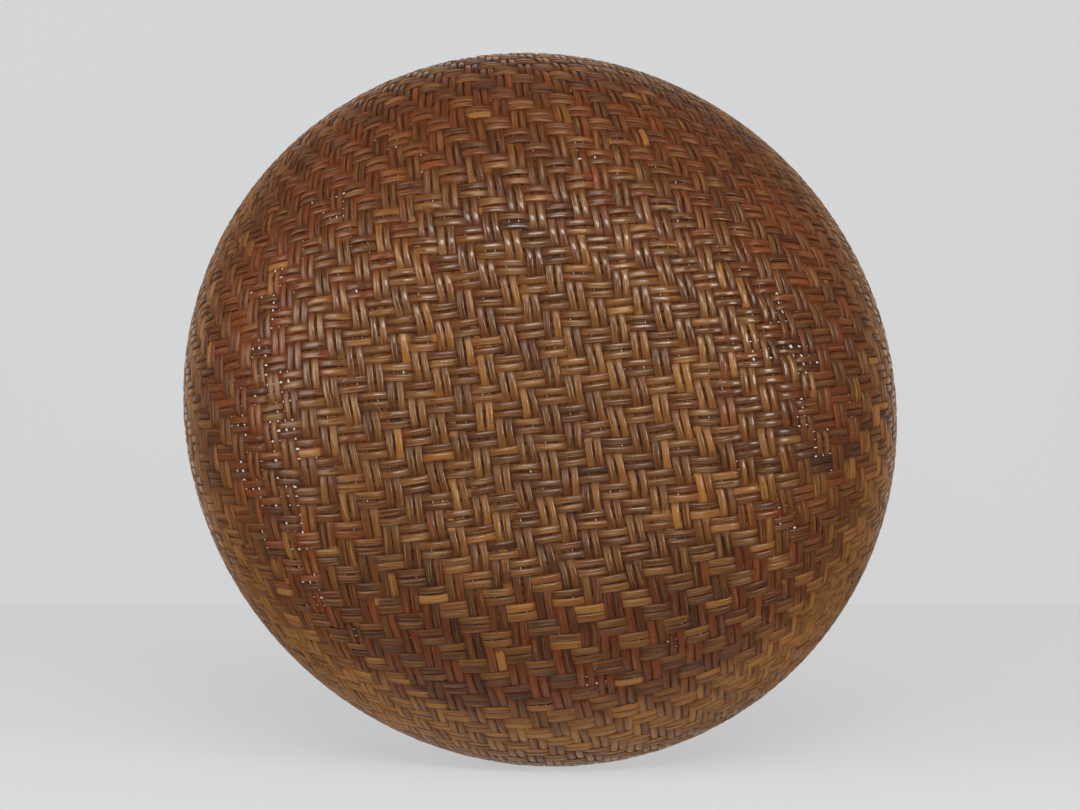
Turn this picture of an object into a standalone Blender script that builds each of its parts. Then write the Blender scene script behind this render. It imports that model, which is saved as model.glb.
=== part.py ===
"""A round twill-woven cane basket: a deep bowl with a flat base and a bound rim.

Sizes are in metres and +Z is up. The origin is the middle of the flat base, which
the basket stands on, and the mouth opens upwards. The woven bowl is one shell as
thick as its two layers of strands, and plain inside. Made by hand, it is a little out
of round between the base and the rim, wider along Y than along X. Its outer face is
woven of broad ribbons that pass over and under each other, and each ribbon stands for
five strands.
The cut ends are clamped at the mouth by a hoop of split cane inside and one outside, a
filler cane covers the ends, and stitches of split cane are pulled tight around all.
"""

import math

import bmesh
import bpy
import numpy as np

# The woven bowl
BODY_RADIUS = 0.180  # outer face of the wall at its widest ring
BASE_RADIUS = 0.072  # flat round of weave that the basket stands on
SHOULDER_HEIGHT = 0.108  # height of the widest ring above the base
WALL_RISE = 0.086  # from the widest ring up to the upright band at the rim
MOUTH_DRAW_IN = 0.0055  # how far the wall leans in over that rise
OUT_OF_ROUND = 0.0037  # what the widest ring gains along Y and loses along X
WALL_THICKNESS = 0.0032  # two strands, one over the other

# The weave on its outer face: a square mat of ribbons, bent up into a bowl
RIBBON_WIDTH = 0.022  # five strands side by side
RELIEF = 0.0013  # how deep the weave dips where a ribbon goes under the next
WEAVE_TURN = math.radians(37.5)  # from X to the first set of ribbons, at the base

# The rim
HOOP_HEIGHT = 0.014
HOOP_THICKNESS = 0.0036  # at the middle of the rounded face
FILLER_WIDTH = 0.008
FILLER_HEIGHT = 0.003
STITCH_WIDTH = 0.0055
STITCH_THICKNESS = 0.0009

# Clear space between pieces that touch
GAP = 0.0003

# Worked out from the sizes above
STITCH_ROOM = 2 * (GAP + STITCH_THICKNESS)  # upright wall that a stitch ends on
RIM_BAND = HOOP_HEIGHT + STITCH_ROOM
WALL_TOP = SHOULDER_HEIGHT + WALL_RISE + RIM_BAND
MOUTH_RADIUS = BODY_RADIUS - MOUTH_DRAW_IN  # outer face of the upright band
INNER_RADIUS = MOUTH_RADIUS - WALL_THICKNESS
HOOP_BOTTOM = WALL_TOP - HOOP_HEIGHT
SNAP = RIBBON_WIDTH / 6  # crossings this close to the plain wall are moved up to it

# Counts
STITCH_COUNT = 36
TURN_STEPS = 2 * STITCH_COUNT  # a stitch lies on every second edge of the turned pieces
WALL_STEPS = 6
SHOULDER_STEPS = 12
HOOP_STEPS = 6
FILLER_STEPS = 5
SECTION_DETAIL = 16  # finer steps, only to measure along the bowl's section

MERGE_DISTANCE = 0.0001  # only joins the points that lie on the axis
CREASE = math.radians(25)
FULL_TURN = 2 * math.pi
QUARTER_TURN = math.pi / 2

# Colour, roughness of each finish
STRAND_FINISH = ((0.30, 0.15, 0.07, 1.0), 0.42)
HOOP_FINISH = ((0.26, 0.13, 0.06, 1.0), 0.45)
FILLER_FINISH = ((0.24, 0.12, 0.055, 1.0), 0.50)
STITCH_FINISH = ((0.34, 0.19, 0.09, 1.0), 0.40)


def clear_scene():
    """Removes what the scene starts with."""
    for old in list(bpy.data.objects):
        bpy.data.objects.remove(old, do_unlink=True)


def make_finish(name, finish):
    """A Principled material of one colour and roughness."""
    colour, roughness = finish
    material = bpy.data.materials.new(name)
    material.use_nodes = True
    shader = material.node_tree.nodes["Principled BSDF"]
    shader.inputs["Base Color"].default_value = colour
    shader.inputs["Roughness"].default_value = roughness
    shader.inputs["Metallic"].default_value = 0.0
    material.diffuse_color = colour
    return material


def add_object(name, data, material, collection):
    """Puts mesh or curve data into the collection under a name and a material."""
    data.materials.append(material)
    part = bpy.data.objects.new(name, data)
    collection.objects.link(part)
    return part


def turned(name, profile, material, collection):
    """A closed profile in the XZ plane, turned about the Z axis by a Screw modifier."""
    edges = [(k, (k + 1) % len(profile)) for k in range(len(profile))]
    mesh = bpy.data.meshes.new(name)
    mesh.from_pydata([(x, 0.0, z) for x, z in profile], edges, [])
    part = add_object(name, mesh, material, collection)
    screw = part.modifiers.new("turn", "SCREW")
    screw.axis = "Z"
    screw.angle = FULL_TURN
    screw.steps = TURN_STEPS
    screw.render_steps = TURN_STEPS
    screw.use_merge_vertices = True
    screw.merge_threshold = MERGE_DISTANCE
    screw.use_smooth_shade = True
    return part


def eased(share):
    """0 up to 0, 1 from 1 on, and an even S between them."""
    share = min(max(share, 0.0), 1.0)
    return share * share * (3 - 2 * share)


def bowl_section(inset, detail=1):
    """Bowl from the middle of its base up to the upright band, moved inwards by inset."""
    points = [(0.0, inset)]
    for k in range(SHOULDER_STEPS * detail + 1):
        angle = QUARTER_TURN * k / (SHOULDER_STEPS * detail)
        radius = BASE_RADIUS + (BODY_RADIUS - BASE_RADIUS - inset) * math.sin(angle)
        points.append((radius, SHOULDER_HEIGHT - (SHOULDER_HEIGHT - inset) * math.cos(angle)))
    for k in range(1, WALL_STEPS * detail + 1):
        share = k / (WALL_STEPS * detail)
        radius = MOUTH_RADIUS - inset + MOUTH_DRAW_IN * eased(1 - share)
        points.append((radius, SHOULDER_HEIGHT + WALL_RISE * share))
    return points


def half_round(flat_x, reach):
    """Rounded face of a split-cane hoop, top to bottom. reach is signed: + is outwards."""
    middle = HOOP_BOTTOM + HOOP_HEIGHT / 2
    points = []
    for k in range(HOOP_STEPS + 1):
        angle = QUARTER_TURN * (1 - 2 * k / HOOP_STEPS)
        height = middle + HOOP_HEIGHT / 2 * math.sin(angle)
        points.append((flat_x + reach * math.cos(angle), height))
    return points


def outer_hoop_section():
    """D shape whose flat side lies on the outer face of the wall."""
    return half_round(MOUTH_RADIUS + GAP, HOOP_THICKNESS)


def inner_hoop_section():
    """D shape whose flat side lies on the inner face of the wall."""
    rounded = half_round(INNER_RADIUS - GAP, -HOOP_THICKNESS)
    return [rounded[0]] + rounded[:0:-1]


def filler_section():
    """Low dome with a flat underside, lying on the wall's edge between the hoops."""
    middle = (MOUTH_RADIUS + INNER_RADIUS) / 2
    points = []
    for k in range(FILLER_STEPS + 1):
        angle = math.pi * (1 - k / FILLER_STEPS)
        height = WALL_TOP + GAP + FILLER_HEIGHT * math.sin(angle)
        points.append((middle + FILLER_WIDTH / 2 * math.cos(angle), height))
    return points


def hull(points):
    """Corners of the tightest outline around points, anticlockwise from the leftmost."""

    def chain(ordered):
        kept = []
        for x, z in ordered:
            while len(kept) > 1:
                (ax, az), (bx, bz) = kept[-2:]
                if (bx - ax) * (z - az) - (bz - az) * (x - ax) > 0:
                    break
                kept.pop()
            kept.append((x, z))
        return kept[:-1]

    ordered = sorted(set(points))
    return chain(ordered) + chain(ordered[::-1])


def pushed_out(path, distance):
    """The open anticlockwise path, moved outwards. It starts and ends on the wall's faces."""
    (first_x, first_z), (last_x, last_z) = path[0], path[-1]
    moved = [(first_x, first_z - distance)]
    sides = list(zip(path, path[1:]))
    normals = [(0.0, -1.0)]
    for (ax, az), (bx, bz) in sides:
        length = math.hypot(bx - ax, bz - az)
        normals.append(((bz - az) / length, (ax - bx) / length))
    normals.append((0.0, -1.0))
    for (x, z), (ux, uz), (vx, vz) in zip(path, normals, normals[1:]):
        spread = distance / (1 + ux * vx + uz * vz)
        moved.append((x + (ux + vx) * spread, z + (uz + vz) * spread))
    moved.append((last_x, last_z - distance))
    return moved


def stitch_outline():
    """Outline of one stitch in its radial plane: a strip pulled tight over the rim."""
    outer, inner = outer_hoop_section(), inner_hoop_section()
    around = hull(outer + filler_section() + inner)
    start = around.index(outer[-1])
    around = around[start:] + around[:start]
    over = around[: around.index(inner[1]) + 1]
    under_side = pushed_out(over, GAP)
    upper_side = pushed_out(over, GAP + STITCH_THICKNESS)
    return under_side + upper_side[::-1]


class Weave:
    """The woven outer face, made crossing by crossing in the bowl's mesh.

    A place is (across, down), counted in ribbons from the middle of the flat mat. How
    far it lies from the middle is how far up the bowl's section it comes.
    """

    def __init__(self, mesh):
        self.mesh = mesh
        self.made = {}
        self.face = np.array(bowl_section(0.0, SECTION_DETAIL))
        self.dipped = np.array(bowl_section(RELIEF, SECTION_DETAIL))
        steps = np.linalg.norm(np.diff(self.face, axis=0), axis=1)
        self.lengths = np.concatenate(([0.0], np.cumsum(steps)))
        # The wall's topmost row stays plain, and joins the weave to the band at the rim
        self.end = self.lengths[-1 - SECTION_DETAIL]

    def reach(self, place):
        return RIBBON_WIDTH * math.hypot(*place)

    def is_edge(self, place):
        """Whether a place is moved to the ring where the plain wall starts."""
        return self.reach(place) > self.end - SNAP

    def is_plain(self, place):
        """Whether a place keeps to the bowl's face: on its edge and on its flat base."""
        return self.is_edge(place) or self.reach(place) <= BASE_RADIUS

    def vertex(self, place, dips):
        """The mesh vertex at a place, on the bowl's face or below it."""
        if place not in self.made:
            section = self.dipped if dips else self.face
            along = self.end if self.is_edge(place) else self.reach(place)
            radius = np.interp(along, self.lengths, section[:, 0])
            height = np.interp(along, self.lengths, section[:, 1])
            turn = WEAVE_TURN + math.atan2(place[1], place[0])
            point = (radius * math.cos(turn), radius * math.sin(turn), height)
            self.made[place] = self.mesh.verts.new(point)
        return self.made[place]

    def corner(self, place):
        return self.vertex(place, not self.is_plain(place))

    def side(self, start, stop, bulges):
        """One side of a crossing: its first corner, and the crown where a ribbon runs."""
        line = [self.corner(start)]
        if bulges and not (self.is_plain(start) and self.is_plain(stop)):
            crown = ((start[0] + stop[0]) / 2, (start[1] + stop[1]) / 2)
            line.append(self.vertex(crown, False))
            self.mesh.faces.new((self.corner(start), line[1], self.corner(stop)))
        return line

    def crossing(self, across, down):
        """One crossing. The ribbon on top is bent over it like a low roof."""
        corners = [(across, down), (across + 1, down), (across + 1, down + 1), (across, down + 1)]
        if all(self.is_edge(corner) for corner in corners):
            return
        woven = not any(self.is_edge(corner) for corner in corners)
        first_on_top = (across + down) % 2 == 0
        outline = []
        for k, corner in enumerate(corners):
            along_first = k % 2 == 0
            bulges = woven and along_first == first_on_top
            outline.append(self.side(corner, corners[(k + 1) % 4], bulges))
        self.roof(outline, first_on_top)

    def roof(self, outline, first_on_top):
        """Faces of one crossing, parted along the ridge where it has both crowns."""
        loop = [vertex for line in outline for vertex in line]
        if len(loop) == 6:
            shift = 1 if first_on_top else 2
            loop = loop[shift:] + loop[:shift]
            self.mesh.faces.new(loop[:4])
            self.mesh.faces.new(loop[3:] + loop[:1])
        else:
            self.mesh.faces.new(loop)

    def make(self):
        """All crossings. Returns the vertices of the ring where the weave ends."""
        count = math.ceil(self.end / RIBBON_WIDTH) + 1
        for across in range(-count, count):
            for down in range(-count, count):
                self.crossing(across, down)
        return [vertex for vertex in self.mesh.verts if vertex.is_boundary]


def spin_wall(mesh):
    """The plain band, the top edge and the inside. Returns the band's lower ring."""
    inside = bowl_section(WALL_THICKNESS)
    profile = [bowl_section(0.0)[-1], (MOUTH_RADIUS, WALL_TOP), (INNER_RADIUS, WALL_TOP)]
    vertices = [mesh.verts.new((x, 0.0, z)) for x, z in profile + inside[::-1]]
    edges = [mesh.edges.new(pair) for pair in zip(vertices, vertices[1:])]
    bmesh.ops.spin(
        mesh,
        geom=vertices + edges,
        axis=(0.0, 0.0, 1.0),
        cent=(0.0, 0.0, 0.0),
        angle=FULL_TURN,
        steps=TURN_STEPS,
        use_merge=True,
    )
    middle = [v for v in mesh.verts if math.hypot(v.co.x, v.co.y) < MERGE_DISTANCE]
    bmesh.ops.remove_doubles(mesh, verts=middle, dist=MERGE_DISTANCE)
    return [v for v in mesh.verts if v.is_boundary and v.co.z > SHOULDER_HEIGHT]


def join_rings(mesh, lower, upper):
    """Triangles between two rings of unlike counts, taken in order of turn."""
    rings = []
    for ring in (lower, upper):
        turns = sorted((math.atan2(v.co.y, v.co.x), k) for k, v in enumerate(ring))
        ordered = [(turn, ring[k]) for turn, k in turns]
        rings.append(ordered + [(ordered[0][0] + FULL_TURN, ordered[0][1])])
    (low, high), here, there = rings, 0, 0
    while here + there < len(low) + len(high) - 2:
        can_step_low = here + 1 < len(low)
        if can_step_low and (there + 1 == len(high) or low[here + 1][0] < high[there + 1][0]):
            mesh.faces.new((low[here][1], low[here + 1][1], high[there][1]))
            here += 1
        else:
            mesh.faces.new((low[here][1], high[there + 1][1], high[there][1]))
            there += 1


def push_out_of_round(mesh):
    """Widens the body along Y and narrows it along X. Its base and its rim stay round."""
    for vertex in mesh.verts:
        from_base = vertex.co.z / SHOULDER_HEIGHT
        from_rim = (SHOULDER_HEIGHT + WALL_RISE - vertex.co.z) / WALL_RISE
        push = OUT_OF_ROUND * eased(min(from_base, from_rim))
        turn = math.atan2(vertex.co.y, vertex.co.x)
        vertex.co.xy *= 1 - push * math.cos(2 * turn) / BODY_RADIUS


def make_bowl(collection):
    """The woven bowl: the weave outside, a turned wall inside, joined below the rim."""
    mesh = bmesh.new()
    woven_edge = Weave(mesh).make()
    woven = set(woven_edge)
    plain_edge = [vertex for vertex in spin_wall(mesh) if vertex not in woven]
    join_rings(mesh, woven_edge, plain_edge)
    push_out_of_round(mesh)
    bmesh.ops.triangulate(mesh, faces=mesh.faces)
    bmesh.ops.recalc_face_normals(mesh, faces=mesh.faces)
    data = bpy.data.meshes.new("woven_bowl")
    mesh.to_mesh(data)
    mesh.free()
    data.shade_smooth()
    data.set_sharp_from_angle(angle=CREASE)
    add_object("woven_bowl", data, make_finish("woven_cane", STRAND_FINISH), collection)


def make_rim(collection):
    """Both hoops and the filler cane between them."""
    hoop_finish = make_finish("split_cane_hoop", HOOP_FINISH)
    filler_finish = make_finish("filler_cane", FILLER_FINISH)
    turned("rim_hoop_outer", outer_hoop_section(), hoop_finish, collection)
    turned("rim_hoop_inner", inner_hoop_section(), hoop_finish, collection)
    turned("rim_filler_cane", filler_section(), filler_finish, collection)


def make_stitches(collection):
    """Stitches over the rim at even steps around the mouth."""
    curve = bpy.data.curves.new("rim_stitch", "CURVE")
    curve.dimensions = "2D"
    curve.fill_mode = "BOTH"
    curve.extrude = STITCH_WIDTH / 2
    curve.materials.append(make_finish("stitch_cane", STITCH_FINISH))
    outline = stitch_outline()
    spline = curve.splines.new("POLY")
    spline.points.add(len(outline) - 1)
    for point, (x, z) in zip(spline.points, outline):
        point.co = (x, z, 0.0, 1.0)
    spline.use_cyclic_u = True
    for k in range(STITCH_COUNT):
        stitch = bpy.data.objects.new(f"rim_stitch_{k + 1:02d}", curve)
        stitch.rotation_euler = (QUARTER_TURN, 0.0, FULL_TURN * k / STITCH_COUNT)
        collection.objects.link(stitch)


def main():
    clear_scene()
    basket = bpy.data.collections.new("woven_basket")
    bpy.context.scene.collection.children.link(basket)
    make_bowl(basket)
    make_rim(basket)
    make_stitches(basket)


main()
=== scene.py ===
# %% [markdown]
# # A round basket of twill-woven cane
#
# This lesson dresses a deep, round basket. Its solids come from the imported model, which
# gives the true size: a bowl-shaped shell, two hoops, a filler cane and 36 stitches.
# Everything that makes it look woven is made here: more than three hundred strands of
# split cane that pass over and under each other, the bound rim, and their finishes.
#
# The basket stands on its base with its mouth up. The picture looks straight at the
# underside, as when such a basket lies on its side with the mouth away from the viewer.

import math

import bpy
import numpy as np
from mathutils import Matrix, Vector


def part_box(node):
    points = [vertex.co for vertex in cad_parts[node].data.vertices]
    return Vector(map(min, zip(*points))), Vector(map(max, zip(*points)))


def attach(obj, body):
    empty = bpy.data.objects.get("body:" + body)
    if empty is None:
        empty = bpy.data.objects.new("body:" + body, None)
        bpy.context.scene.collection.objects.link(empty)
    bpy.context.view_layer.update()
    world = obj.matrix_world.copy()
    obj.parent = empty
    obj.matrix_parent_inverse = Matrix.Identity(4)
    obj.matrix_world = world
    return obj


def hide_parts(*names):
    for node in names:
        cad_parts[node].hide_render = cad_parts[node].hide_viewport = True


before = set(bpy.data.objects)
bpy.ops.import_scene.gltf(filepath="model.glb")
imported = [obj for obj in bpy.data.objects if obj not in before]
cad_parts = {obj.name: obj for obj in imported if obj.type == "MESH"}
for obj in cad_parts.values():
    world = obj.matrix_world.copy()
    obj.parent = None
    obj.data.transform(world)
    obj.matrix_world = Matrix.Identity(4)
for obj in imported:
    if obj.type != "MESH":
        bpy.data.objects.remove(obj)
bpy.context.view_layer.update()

# %% [markdown]
# ## Sizes
#
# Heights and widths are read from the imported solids, so that the strands always fit the
# shell that they stand for. Only the sizes that a box can't show are repeated here: the
# flat round of the base, the shoulder, how far the wall rises and draws in above it, and
# how thick the wall and its strands are.

# %% Sizes of the bowl and its strands
bowl_low, bowl_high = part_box("woven_bowl")
hoop_low, hoop_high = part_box("rim_hoop_outer")
_, inner_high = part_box("rim_hoop_inner")
filler_low, filler_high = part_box("rim_filler_cane")

bowl_size = bowl_high - bowl_low
BODY_RADIUS = (bowl_size.x + bowl_size.y) / 4
OUT_OF_ROUND = (bowl_size.y - bowl_size.x) / 4  # the body is wider along Y than along X
WALL_TOP = bowl_high.z
HOOP_HEIGHT = hoop_high.z - hoop_low.z

BASE_RADIUS = 0.072
SHOULDER_HEIGHT = 0.108
WALL_RISE = 0.086
MOUTH_DRAW_IN = 0.0055
WALL_THICKNESS = 0.0032
GAP = 0.0003
MOUTH_RADIUS = BODY_RADIUS - MOUTH_DRAW_IN

STRAND_WIDTH = 0.0046
STRAND_THICKNESS = 0.00092
LAYER_SHIFT = 0.00060  # from the middle of the weave to the middle of either layer
WEAVE_SHIFT = 0.0003  # the weave lies that much outside the middle of the wall

rng = np.random.default_rng(11)
print("widest radius", BODY_RADIUS, "give or take", OUT_OF_ROUND, "wall top", WALL_TOP)

# %% [markdown]
# ## The surface that the strands lie on
#
# The middle of the wall is almost a turned surface. Its section runs from the middle of
# the base along a flat, a quarter circle and a wall that leans in a little. A place on it
# has two numbers: the distance from the middle of the base, measured along the surface,
# and the turn around the axis. A weaver measures the same way, with a tape laid on the
# basket. Between the base and the rim the body is a little out of round.

# %% Section of the wall and a way onto it
RIGHT = np.array((-1.0, -1.0, 0.0)) / math.sqrt(2)  # to the right in the picture
DOWN = np.array((1.0, -1.0, 0.0)) / math.sqrt(2)  # down in the picture
AXIS = np.array((0.0, 0.0, 1.0))


def smooth_step(value):
    """0 below 0, 1 above 1, and an even S between them."""
    share = np.clip(value, 0.0, 1.0)
    return share * share * (3 - 2 * share)


def hill(value):
    """1 at 0, falling off to next to nothing at 2 and at -2."""
    return np.exp(-(value**2))


def wall_section(steps=400):
    """Distance along the middle of the wall, with radius and height there.

    Above the rim the section goes straight on, so that strands can be cut off there.
    """
    half = WALL_THICKNESS / 2
    turn = np.linspace(0.0, math.pi / 2, steps)
    shoulder = SHOULDER_HEIGHT - half
    base_to_side = BODY_RADIUS - BASE_RADIUS - half
    rise = np.linspace(0.0, 1.0, steps // 4)[1:]
    lean = MOUTH_DRAW_IN * smooth_step(1 - rise)
    radius = np.concatenate((
        [0.0],
        BASE_RADIUS + base_to_side * np.sin(turn),
        MOUTH_RADIUS - half + lean,
        [MOUTH_RADIUS - half],
    ))
    height = np.concatenate((
        [half],
        SHOULDER_HEIGHT - shoulder * np.cos(turn),
        SHOULDER_HEIGHT + WALL_RISE * rise,
        [WALL_TOP + BODY_RADIUS],
    ))
    along = np.concatenate(([0.0], np.cumsum(np.hypot(np.diff(radius), np.diff(height)))))
    even = np.linspace(0.0, along[-1], 8 * steps)
    return even, np.interp(even, along, radius), np.interp(even, along, height)


section_along, section_radius, section_height = wall_section()
section_out = np.gradient(section_radius, section_along)
section_up = np.gradient(section_height, section_along)
RIM_ALONG = float(np.interp(WALL_TOP, section_height[1:], section_along[1:]))


def on_wall(along, turn):
    """Points on the middle of the wall, and the way out of the wall there."""
    radius = np.interp(along, section_along, section_radius)
    height = np.interp(along, section_along, section_height)
    out = np.interp(along, section_along, section_out)
    up = np.interp(along, section_along, section_up)
    from_rim = (SHOULDER_HEIGHT + WALL_RISE - height) / WALL_RISE
    push = OUT_OF_ROUND / BODY_RADIUS * smooth_step(np.minimum(height / SHOULDER_HEIGHT, from_rim))
    spoke = np.cos(turn)[..., None] * RIGHT + np.sin(turn)[..., None] * DOWN
    around = np.cos(turn)[..., None] * DOWN - np.sin(turn)[..., None] * RIGHT
    radius = radius * (1 + push * np.sin(2 * turn))
    point = radius[..., None] * spoke + height[..., None] * AXIS
    facing = spoke - (2 * push * np.cos(2 * turn))[..., None] * around
    normal = up[..., None] * facing - out[..., None] * AXIS
    return point, normal / np.linalg.norm(normal, axis=-1, keepdims=True)


print("base to rim along the wall:", round(RIM_ALONG, 4))

# %% [markdown]
# ## The net of strands
#
# The base starts as a flat mat: one set of strands runs crosswise, one lengthwise, and
# they cross almost at right angles. The mat is then bent up into the bowl. Flat cloth
# can't cover a round shape, so the strands crowd together on the four diagonals, where a
# square mat has its corners, and curve around them. Two numbers say where a crossing is
# on the flat mat, and `bend_up` brings it onto the wall.

# %% Crossings on the flat mat and on the wall
PITCH_ACROSS = np.array((0.004378, -0.00043))  # one lengthwise strand to the next
PITCH_DOWN = np.array((0.00073, 0.004345))  # one crosswise strand to the next
MAT_MIDDLE = np.array((0.0028, -0.0004))
FAN = np.array((0.2255, -0.334))  # how the rows open out towards one corner, per metre

CORNER_START, CORNER_FULL = 0.09, 0.20
CORNER_CROWDING = 0.30  # share by which the strands close up on a diagonal
CORNER_PULL = 0.006
CORNER_PULL_SPAN = 0.14

mat_angle = (
    math.atan2(PITCH_ACROSS[1], PITCH_ACROSS[0])
    + math.atan2(PITCH_DOWN[1], PITCH_DOWN[0])
    - math.pi / 2
) / 2
crowd_reach = np.linspace(0.0, 3 * RIM_ALONG, 2000)
crowd_share = smooth_step((crowd_reach - CORNER_START) / (CORNER_FULL - CORNER_START))
crowded = np.cumsum(1 - CORNER_CROWDING * crowd_share) * crowd_reach[1]
crowded -= crowded[0]


def bend_up(across, down):
    """Crossing numbers on the mat to the distance along the wall and the turn."""
    place = (
        across[..., None] * PITCH_ACROSS + down[..., None] * PITCH_DOWN + MAT_MIDDLE
    )
    place = place + FAN * place[..., :1] * place[..., 1:]
    reach = np.hypot(place[..., 0], place[..., 1])
    angle = np.arctan2(place[..., 1], place[..., 0])
    corner = np.sin(2 * (angle - mat_angle)) ** 2
    along = reach * (1 - corner) + np.interp(reach, crowd_reach, crowded) * corner
    pull = CORNER_PULL * smooth_step(reach / CORNER_PULL_SPAN)
    return along, angle + pull * np.sin(4 * (angle - mat_angle))


# %% [markdown]
# ## The twill
#
# Which strand is on top repeats every twelve crossings along a crosswise strand, and each
# row starts five crossings on. Crosswise strands float in pairs over three lengthwise
# ones, and lengthwise strands float in pairs over three crosswise ones. That gives the
# stepped blocks that run down the basket.

# %% Over or under
TWILL_REPEAT = 12
TWILL_STEP = 5
TWILL_START = 6
CROSSWISE_OVER = (3, 4, 5, 8, 9, 10)


def crosswise_over(across, down):
    """+1 where the crosswise strand is on the outside, -1 where it is inside."""
    count = (across + TWILL_STEP * down + TWILL_START) % TWILL_REPEAT
    return np.where(np.isin(count, CROSSWISE_OVER), 1.0, -1.0)


sample = np.arange(TWILL_REPEAT)
print("one row:", "".join("=" if v > 0 else "|" for v in crosswise_over(sample, 0)))

# %% [markdown]
# ## One strand
#
# Each strand is split from a cane: a broad, hardly rounded back outside, with round
# shoulders, and flat inside. It is made as rings of six points, two rings to a crossing,
# because a strand rises and dips by its own thickness from one crossing to the next.
# On top of a float it is a little narrower than its room, so that the crowns of the
# strands below show beside it, and where it dives and lies below it fills its room, which
# closes the weave. From the shoulder on the weave is packed tight, least so on the side
# that is up in the picture. Small wanderings keep the rows from looking ruled.

# %% Wandering, spacing and height along a strand
TOP_SHARE = {True: 0.86, False: 0.84}  # of its room, crosswise and lengthwise
TIGHT_SHARE = 0.985
UNDER_SHARE = {True: 1.12, False: 1.0}
DIVE_SHARE = 1.10
OPEN_CORNERS = 0.17  # by how much a dive is narrower on the wall, which leaves dark corners
CORNERS_FROM, CORNERS_SPAN = 0.150, 0.040
FLOAT_WIDTH_SPREAD = 0.05
WANDER = ((8.7, 0.018), (19.0, 0.024), (43.0, 0.030))  # length in crossings, share of pitch
SHARED_WANDER = ((0.113, 0.051, 0.045), (0.059, -0.167, 0.055), (-0.031, 0.047, 0.10))
ROLL_LIMIT = math.radians(7)
ROLL_WANDER = ((13.0, 0.5), (37.0, 0.5))  # length in crossings, share of the limit
LIFT_WANDER = ((5.3, 0.00004),)
WAVE_STARTS = 6.3  # radians, so that a wave can start anywhere
ARCH = 0.33  # how much a float bulges in its middle
TIGHT_ARCH = 0.10
TIGHT_LIFT = 0.82
TIGHT_FROM, TIGHT_SPAN = 0.080, 0.055  # along the wall, where the weave packs tight
LOW_PACKED = 0.025  # how much nearer to the middle it does so on the low side
LOOSE_TOP = 0.7  # how much of that is missing on the side that is up in the picture
LOOSE_TOP_WIDTH = 1.3
REACH = 110  # strands to either side that could touch the wall


def waves(place, lengths_and_sizes):
    """A smooth wander: a few sine waves, each with a random start."""
    starts = rng.uniform(0, WAVE_STARTS, len(lengths_and_sizes))
    return sum(
        size * np.sin(2 * math.pi * place / length + start)
        for (length, size), start in zip(lengths_and_sizes, starts)
    )


def moved_together(across, down):
    """A wander that neighbours share, so that rows bend without opening."""
    return sum(
        size * np.sin(2 * math.pi * (by_across * across + by_down * down) + start)
        for start, (by_across, by_down, size) in enumerate(SHARED_WANDER)
    )


def crossing_place(crosswise, number, along):
    """The mat place of a strand's point: (across, down)."""
    number = np.broadcast_to(number, along.shape)
    return (along, number) if crosswise else (number, along)


def spacing_at(crosswise, number, along):
    """Clear width between a strand's neighbours, square to the strand."""
    before, _ = on_wall(*bend_up(*crossing_place(crosswise, number - 0.5, along)))
    after, _ = on_wall(*bend_up(*crossing_place(crosswise, number + 0.5, along)))
    middle = (before + after) / 2
    way = np.gradient(middle, axis=0)
    way /= np.linalg.norm(way, axis=-1, keepdims=True)
    apart = after - before
    apart -= (apart * way).sum(-1, keepdims=True) * way
    return np.linalg.norm(apart, axis=-1)


def sides_of(crosswise, number, along):
    """The crossings of a stretch, and whether the strand is over (+1) or under (-1)."""
    crossings = np.arange(math.floor(along[0]) - 2, math.ceil(along[-1]) + 3)
    if crosswise:
        return crossings, crosswise_over(crossings, number)
    return crossings, -crosswise_over(number, crossings)


def between_crossings(along, crossings, at_crossing, halfway):
    """Values at the crossings and halfway between them, read off along the strand."""
    places = np.concatenate((crossings, crossings[:-1] + 0.5))
    values = np.concatenate((at_crossing, halfway))
    order = np.argsort(places)
    return np.interp(along, places[order], values[order])


def arched(along, crossings, side, arch):
    """Which side of the wall a strand is on, from -1 to +1, and more where it bulges."""
    inner = side[1:-1]
    lifted = (1 - arch) * inner + arch * (side[:-2] + side[2:])
    halfway = (1 + arch / 2) * (inner[1:] + inner[:-1]) / 2
    return between_crossings(along, crossings[1:-1], lifted, halfway)


def tightness(reach, turn):
    """How tightly the weave is packed: 0 on the base and 1 on most of the wall."""
    down = np.sin(turn)
    packed = smooth_step((reach - TIGHT_FROM + LOW_PACKED * down) / TIGHT_SPAN)
    return packed * (1 - LOOSE_TOP * smooth_step(-LOOSE_TOP_WIDTH * down))


def height_at(along, crossings, side, tight):
    """Height of the strand's middle above the middle of the wall."""
    loose = arched(along, crossings, side, ARCH)
    packed = TIGHT_LIFT * arched(along, crossings, side, TIGHT_ARCH)
    return LAYER_SHIFT * (loose + (packed - loose) * tight)


def share_at(crosswise, along, crossings, side, tight, reach):
    """Share of its room that the strand takes up."""
    over = side > 0
    on_top = between_crossings(along, crossings, over, over[1:] & over[:-1])
    dives = between_crossings(along, crossings, 0 * side, over[1:] != over[:-1])
    top = TOP_SHARE[crosswise] + (TIGHT_SHARE - TOP_SHARE[crosswise]) * tight
    corners = smooth_step((reach - CORNERS_FROM) / CORNERS_SPAN)
    dive = DIVE_SHARE * (1 - OPEN_CORNERS * corners)
    return on_top * top + dives * dive + (1 - on_top - dives) * UNDER_SHARE[crosswise]


def float_of(along, crossings, side):
    """Number of the float that each point belongs to, counted from the start."""
    count = np.concatenate(([0], np.cumsum(side[1:] != side[:-1])))
    nearest = np.round(along).astype(int) - crossings[0]
    return count[nearest]


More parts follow.
